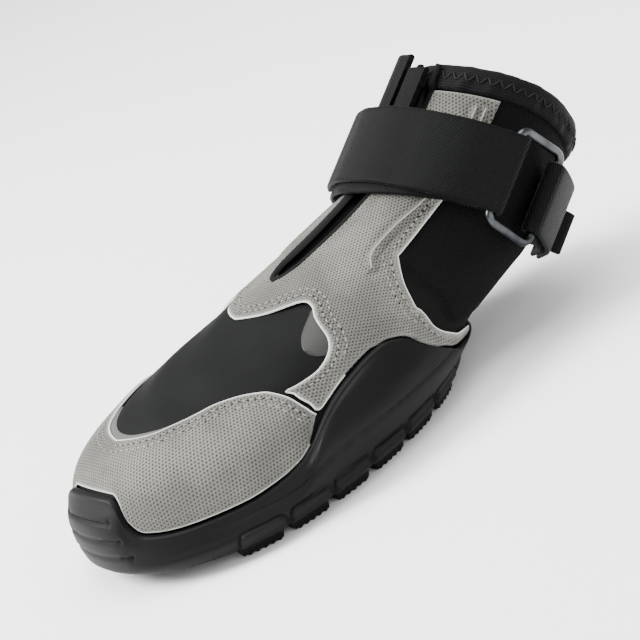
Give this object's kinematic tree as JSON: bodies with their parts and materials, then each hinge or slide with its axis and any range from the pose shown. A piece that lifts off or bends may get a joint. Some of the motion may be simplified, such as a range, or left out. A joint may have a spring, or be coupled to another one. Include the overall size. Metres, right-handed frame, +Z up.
{
  "type": "dog boot",
  "caption": "Soft dog boot with a cupped rubber sole, grey mesh overlays over a black stretch upper, and a webbing ankle strap folded through a wire ring.",
  "frame": {"origin": "on the bottom of the middle tread block, on the boot's centre line, at the level of the ground", "axes": "-Y to the toe, +Y to the heel and the mouth of the shaft, +Z up, +X to the side with the wire ring (the boot's left side with its toe forwards)"},
  "size_m": [0.0768, 0.1565, 0.0662],
  "materials": {
    "rubber_black": "satin moulded rubber with a fine texture",
    "neoprene_black": "matt stretch fabric",
    "guard_mesh_grey": "light grey knit mesh with small dark holes",
    "saddle_mesh_grey": "light grey knit mesh with small dark holes",
    "elastic_black": "ribbed elastic tape with zigzag stitching",
    "strap_webbing_black": "twill woven tape",
    "keeper_webbing_black": "twill woven tape",
    "tab_webbing_black": "twill woven tape",
    "gunmetal_steel": "dark plated wire"
  },
  "bodies": {
    "root": {"outsole": "rubber_black", "upper": "neoprene_black", "toe_guard": "guard_mesh_grey", "saddle": "saddle_mesh_grey", "collar_binding": "elastic_black", "strap": "strap_webbing_black", "strap_ring": "gunmetal_steel", "ring_keeper": "keeper_webbing_black", "heel_tab": "tab_webbing_black"}
  },
  "joints": []
}
